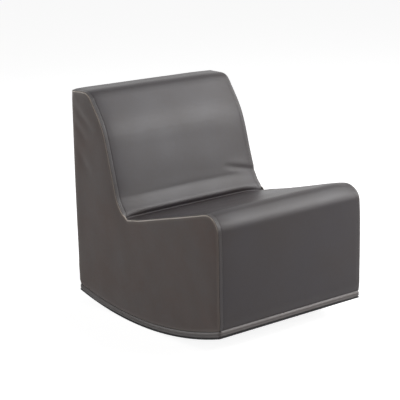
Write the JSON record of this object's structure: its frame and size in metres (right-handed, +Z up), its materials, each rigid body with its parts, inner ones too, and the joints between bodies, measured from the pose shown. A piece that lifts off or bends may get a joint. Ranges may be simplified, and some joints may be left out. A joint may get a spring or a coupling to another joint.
{
  "type": "floor rocker chair",
  "caption": "Legless upholstered rocking seat with a low backrest on a curved base, in a sewn vinyl cover that opens by a zip along the foot of its back.",
  "frame": {"origin": "on the floor under the middle of the chair's outermost points, at rest", "axes": "+Z up; -Y towards the sitter's knees, the chair's front; +Y its back; +X to the left of a person who sits in it"},
  "size_m": [0.522, 0.667, 0.648],
  "materials": {
    "sole": "matte",
    "firm_foam": "matte",
    "base_band": "satin",
    "core_foam": "matte",
    "strip_vinyl": "satin",
    "side_vinyl": "satin",
    "zip_tape": "matte",
    "zip_teeth": "satin",
    "zip_metal": "satin"
  },
  "bodies": {
    "chair": {"bottom_panel": "sole", "rocker_base_slab": "firm_foam", "front_base_band": "base_band", "rear_base_band": "base_band", "left_base_band": "base_band", "right_base_band": "base_band", "base_foam": "core_foam", "seat_foam": "core_foam", "backrest_foam": "core_foam", "seat_panel": "strip_vinyl", "backrest_panel": "strip_vinyl", "rear_panel": "strip_vinyl", "left_side_panel": "side_vinyl", "right_side_panel": "side_vinyl", "zip_lower_tape": "zip_tape", "zip_upper_tape": "zip_tape", "zip_lower_teeth": "zip_teeth", "zip_upper_teeth": "zip_teeth", "zip_lower_top_stop": "zip_metal", "zip_upper_top_stop": "zip_metal", "zip_bottom_stop": "zip_metal"},
    "slider": {"zip_slider": "zip_metal"},
    "pull_tab": {"zip_pull_tab": "zip_metal"}
  },
  "joints": [
    {"name": "slider_travel", "type": "slide", "parent": "chair", "child": "slider", "axis": [-1, 0, 0], "range_m": [0, 0.4447]},
    {"name": "pull_tab_swing", "type": "hinge", "parent": "slider", "child": "pull_tab", "pos_m": [0.22235, 0.3316, 0.06353], "axis": [0, 0, -1], "range_deg": [0, 175]}
  ]
}
